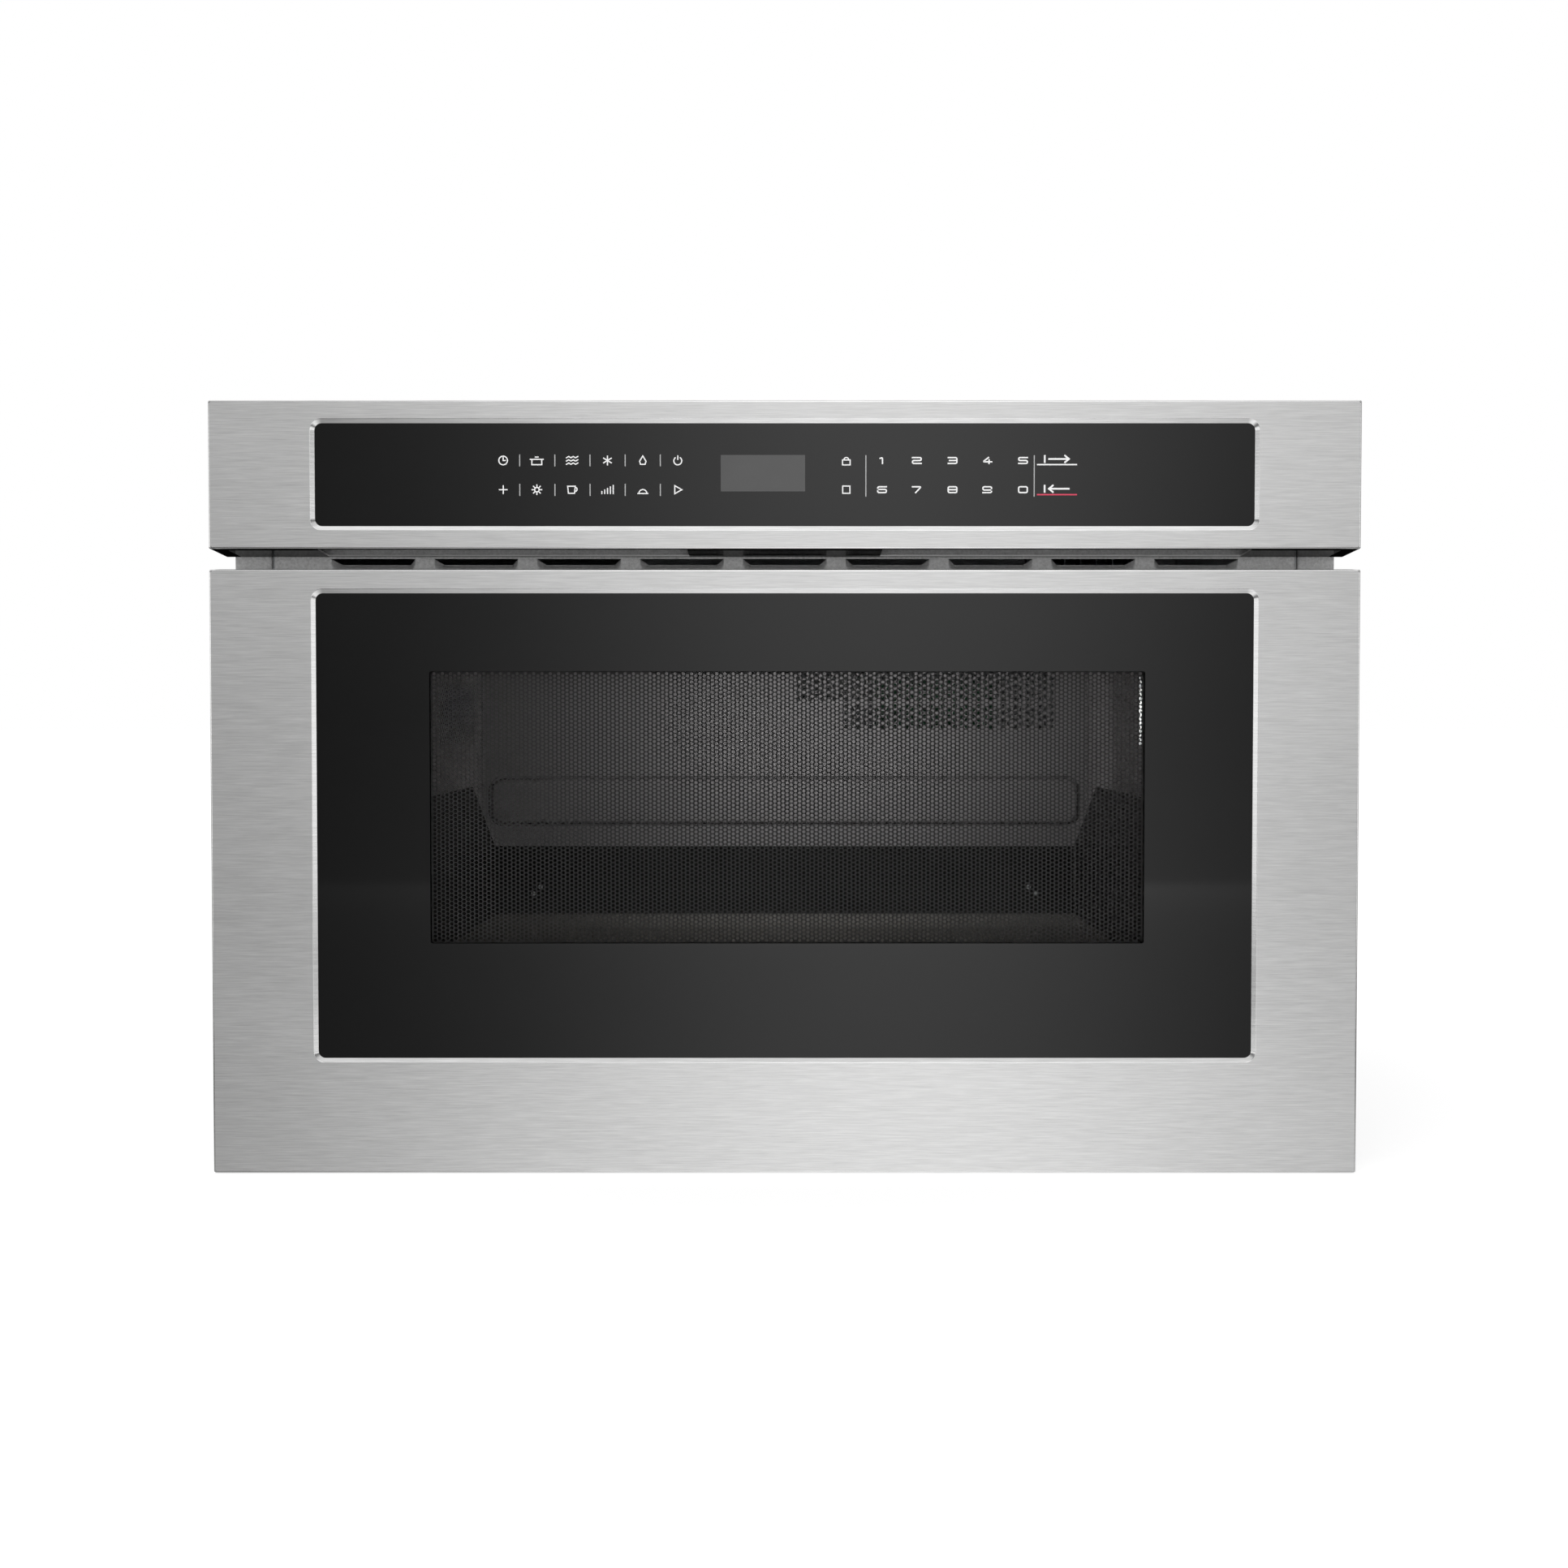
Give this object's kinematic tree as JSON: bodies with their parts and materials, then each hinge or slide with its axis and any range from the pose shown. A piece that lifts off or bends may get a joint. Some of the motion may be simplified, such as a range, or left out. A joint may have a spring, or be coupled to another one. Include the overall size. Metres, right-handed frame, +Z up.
{
  "type": "microwave drawer",
  "caption": "Built-in microwave drawer with a control panel over a windowed, motor-driven drawer front on telescopic slides and a louvred flange between them.",
  "frame": {"origin": "centre of the overall footprint, level with the drawer front's lower edge", "axes": "+X to the right seen from the front, the front faces -Y, +Z up"},
  "size_m": [0.6064, 0.59, 0.4083],
  "materials": {
    "stainless": "horizontal brushed grain",
    "black_glass": "polished, printed black from behind",
    "clear_glass": "polished",
    "grey_paint": "fine textured powder coat",
    "cavity_paint": "satin enamel",
    "dark_enamel": "satin enamel",
    "galvanised": "zinc coated sheet",
    "dark_steel": "dark satin",
    "black_plastic": "matte",
    "white_plastic": "natural acetal",
    "circuit_board": "solder mask",
    "display": "smoked",
    "glass_ceramic": "smooth",
    "wound_core": "varnished laminations and winding",
    "aluminium": "bare",
    "mica": "pressed mica",
    "lamp": "warm bulb"
  },
  "bodies": {
    "body": {"control_fascia": "stainless", "control_glass": "black_glass", "front_frame": "grey_paint", "louvre_strip": "grey_paint", "mounting_ear_left": "grey_paint", "mounting_ear_right": "grey_paint", "cavity_floor": "cavity_paint", "cavity_ceiling": "cavity_paint", "cavity_left": "cavity_paint", "cavity_right": "cavity_paint", "cavity_back": "cavity_paint", "case_left": "galvanised", "case_right": "galvanised", "case_top": "galvanised", "case_bottom": "galvanised", "case_back": "galvanised", "cavity_support": "galvanised", "waveguide": "galvanised", "magnetron": "galvanised", "stirrer_motor": "galvanised", "lamp_holder": "galvanised", "slide_outer_left": "galvanised", "slide_outer_right": "galvanised", "fan_motor": "dark_steel", "drive_motor": "dark_steel", "control_housing": "black_plastic", "fan_shroud": "black_plastic", "drive_gearbox": "black_plastic", "interlock_switches_left": "black_plastic", "interlock_switches_right": "black_plastic", "power_inlet": "black_plastic", "touch_board": "circuit_board", "control_board": "circuit_board", "filter_board": "circuit_board", "display_module": "display", "high_voltage_transformer": "wound_core", "high_voltage_capacitor": "aluminium", "stirrer_cover": "mica", "cavity_lamp": "lamp"},
    "drawer": {"drawer_fascia": "stainless", "drawer_glass": "black_glass", "door_frame": "dark_steel", "perforated_screen": "dark_steel", "inner_window": "clear_glass", "door_back_plate": "galvanised", "choke_cover": "black_plastic", "drawer_pan": "dark_enamel", "drawer_left_wall": "dark_enamel", "drawer_right_wall": "dark_enamel", "ceramic_tray": "glass_ceramic", "slide_inner_left": "galvanised", "slide_inner_right": "galvanised", "drive_rack": "white_plastic", "latch_hook_left": "white_plastic", "latch_hook_right": "white_plastic"},
    "left_slide_member": {"slide_middle_left": "galvanised"},
    "right_slide_member": {"slide_middle_right": "galvanised"},
    "pinion": {"drive_pinion": "white_plastic"},
    "fan": {"fan_blade": "black_plastic"},
    "stirrer": {"stirrer": "aluminium"}
  },
  "joints": [
    {"name": "drawer_slide", "type": "slide", "parent": "body", "child": "drawer", "axis": [0, -1, 0], "range_m": [0, 0.38]},
    {"name": "left_slide_extend", "type": "slide", "parent": "body", "child": "left_slide_member", "axis": [0, -1, 0], "range_m": [0, 0.19]},
    {"name": "right_slide_extend", "type": "slide", "parent": "body", "child": "right_slide_member", "axis": [0, -1, 0], "range_m": [0, 0.19]},
    {"name": "pinion_turn", "type": "hinge", "parent": "body", "child": "pinion", "pos_m": [0, -0.205, 0.037], "axis": [1, 0, 0], "range_deg": [0, 1361]},
    {"name": "fan_spin", "type": "hinge", "parent": "body", "child": "fan", "pos_m": [0.205, 0.057, 0.3331], "axis": [0, 1, 0], "continuous": true},
    {"name": "stirrer_spin", "type": "hinge", "parent": "body", "child": "stirrer", "pos_m": [0, -0.033, 0.3], "axis": [0, 0, 1], "continuous": true}
  ],
  "couplings": [
    {"joint": "left_slide_extend", "follows": "drawer_slide", "ratio": 0.5},
    {"joint": "right_slide_extend", "follows": "drawer_slide", "ratio": 0.5},
    {"joint": "pinion_turn", "follows": "drawer_slide", "rad_per_m": 62.5}
  ]
}
